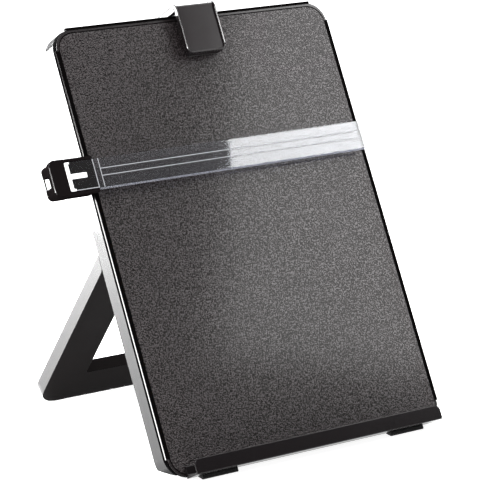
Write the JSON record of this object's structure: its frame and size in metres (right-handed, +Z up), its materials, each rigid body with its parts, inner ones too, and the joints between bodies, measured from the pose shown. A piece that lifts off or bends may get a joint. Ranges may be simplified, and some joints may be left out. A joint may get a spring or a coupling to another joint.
{
  "type": "copy holder with line guide",
  "caption": "Freestanding desk copy holder: leaning black board with a paper ledge, a sliding top clip, a sliding clear line guide and a fold-out leg.",
  "frame": {"origin": "on the floor, under the middle of the standing part's bounding box", "axes": "+Z up; -Y towards the reader; +X to the reader's right, along the board's width"},
  "size_m": [0.261, 0.2122, 0.2913],
  "materials": {
    "textured_plastic": "fine leather-like grain, satin",
    "moulded_plastic": "smooth moulded black, glossy",
    "satin_plastic": "smooth moulded black, satin",
    "foot_rubber": "matt",
    "bracket_steel": "black finish",
    "pin_steel": "drawn wire",
    "screw_steel": "plated",
    "black_steel": "black finish",
    "spring_steel": "plain wire",
    "clear_plastic": "clear, polished",
    "white_plastic": "smooth"
  },
  "bodies": {
    "board": {"front_panel": "textured_plastic", "back_frame": "moulded_plastic", "paper_ledge": "moulded_plastic", "front_foot_left": "foot_rubber", "front_foot_right": "foot_rubber", "hinge_bracket_left": "bracket_steel", "hinge_bracket_right": "bracket_steel", "leg_pin_left": "pin_steel", "leg_pin_right": "pin_steel", "bracket_screws": "screw_steel", "frame_screws": "screw_steel", "ledge_screws": "black_steel"},
    "leg": {"leg_frame": "moulded_plastic", "toe_pad_left": "foot_rubber", "toe_pad_right": "foot_rubber"},
    "clip_carriage": {"clip_saddle": "satin_plastic", "clip_pin": "pin_steel", "clip_spring": "spring_steel"},
    "clip_jaw": {"clip_jaw": "satin_plastic", "clip_grip_pad": "foot_rubber"},
    "guide": {"slider_housing": "satin_plastic", "slider_pin": "pin_steel", "slider_spring": "spring_steel", "slider_grip_pad": "foot_rubber", "guide_strip": "clear_plastic", "strip_key": "white_plastic"},
    "lever": {"slider_lever": "satin_plastic"}
  },
  "joints": [
    {"name": "leg_fold", "type": "hinge", "parent": "board", "child": "leg", "pos_m": [0.0165, 0.00372, 0.12632], "axis": [-1, 0, 0], "range_deg": [0, 67.7]},
    {"name": "clip_slide", "type": "slide", "parent": "board", "child": "clip_carriage", "axis": [1, 0, 0], "range_m": [-0.085, 0.085]},
    {"name": "clip_open", "type": "hinge", "parent": "clip_carriage", "child": "clip_jaw", "pos_m": [0.0165, 0.08269, 0.26742], "axis": [-1, 0, 0], "range_deg": [0, 12], "stiffness_Nm_per_rad": 0.05, "springref_deg": -8.59},
    {"name": "guide_slide", "type": "slide", "parent": "board", "child": "guide", "axis": [0, 0.4916, 0.8708], "range_m": [-0.18, 0.062]},
    {"name": "lever_pinch", "type": "hinge", "parent": "guide", "child": "lever", "pos_m": [-0.1145, 0.01389, 0.18867], "axis": [0, 0.4916, 0.8708], "range_deg": [0, 3], "stiffness_Nm_per_rad": 0.05, "springref_deg": -2.86}
  ]
}
